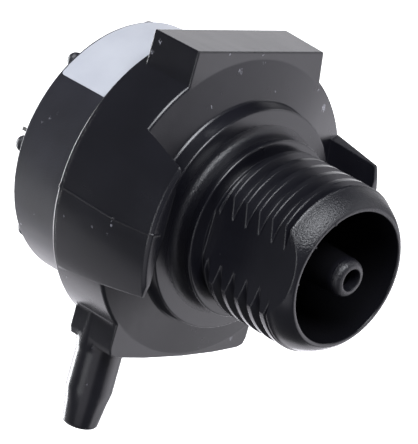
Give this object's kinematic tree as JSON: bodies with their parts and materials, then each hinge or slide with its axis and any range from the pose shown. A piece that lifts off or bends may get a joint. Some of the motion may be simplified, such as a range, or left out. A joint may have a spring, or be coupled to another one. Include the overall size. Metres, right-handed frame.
{
  "type": "pressure sensor",
  "caption": "Small black pressure sensor: threaded nose port with flats and an inner nipple, boss and disc with grip blocks, hose stub, and blade terminals behind a round drum.",
  "frame": {"origin": "On the axis of the threaded port, at the front plane of the body's disc.", "axes": "-Y runs out along the threaded port, +Z points to the top lug with the hose stub below, and +X is to the right as seen from the front."},
  "size_m": [0.0242, 0.0315, 0.0308],
  "materials": {
    "satin_black_moulding": "satin black moulded plastic",
    "black_drum_moulding": "satin black moulded plastic",
    "black_cover_moulding": "matt black moulded plastic",
    "white_label_film": "matt white film",
    "sintered_filter": "sintered, matt",
    "seal_rubber": "moulded",
    "white_ceramic": "fired ceramic, satin",
    "natural_moulding": "natural moulded plastic",
    "gasket_rubber": "moulded",
    "green_laminate": "solder resist, satin",
    "chip_epoxy": "moulded epoxy",
    "capacitor_ceramic": "ceramic with tinned ends",
    "resistor_film": "glazed film",
    "tinned_pin": "tinned wire",
    "tinned_brass": "tin-plated brass"
  },
  "bodies": {
    "root": {"front_housing": "satin_black_moulding", "rear_drum": "black_drum_moulding", "rear_cover": "black_cover_moulding", "label": "white_label_film", "port_filter": "sintered_filter", "cell_seal": "seal_rubber", "pressure_cell": "white_ceramic", "cell_clamp": "natural_moulding", "body_gasket": "gasket_rubber", "circuit_board": "green_laminate", "amplifier_chip": "chip_epoxy", "regulator_chip": "chip_epoxy", "capacitor_1": "capacitor_ceramic", "capacitor_2": "capacitor_ceramic", "capacitor_3": "capacitor_ceramic", "resistor_1": "resistor_film", "resistor_2": "resistor_film", "resistor_3": "resistor_film", "resistor_4": "resistor_film", "cell_pin_1": "tinned_pin", "cell_pin_2": "tinned_pin", "cell_pin_3": "tinned_pin", "cell_pin_4": "tinned_pin", "terminal_1": "tinned_brass", "terminal_2": "tinned_brass", "terminal_3": "tinned_brass"}
  },
  "joints": []
}
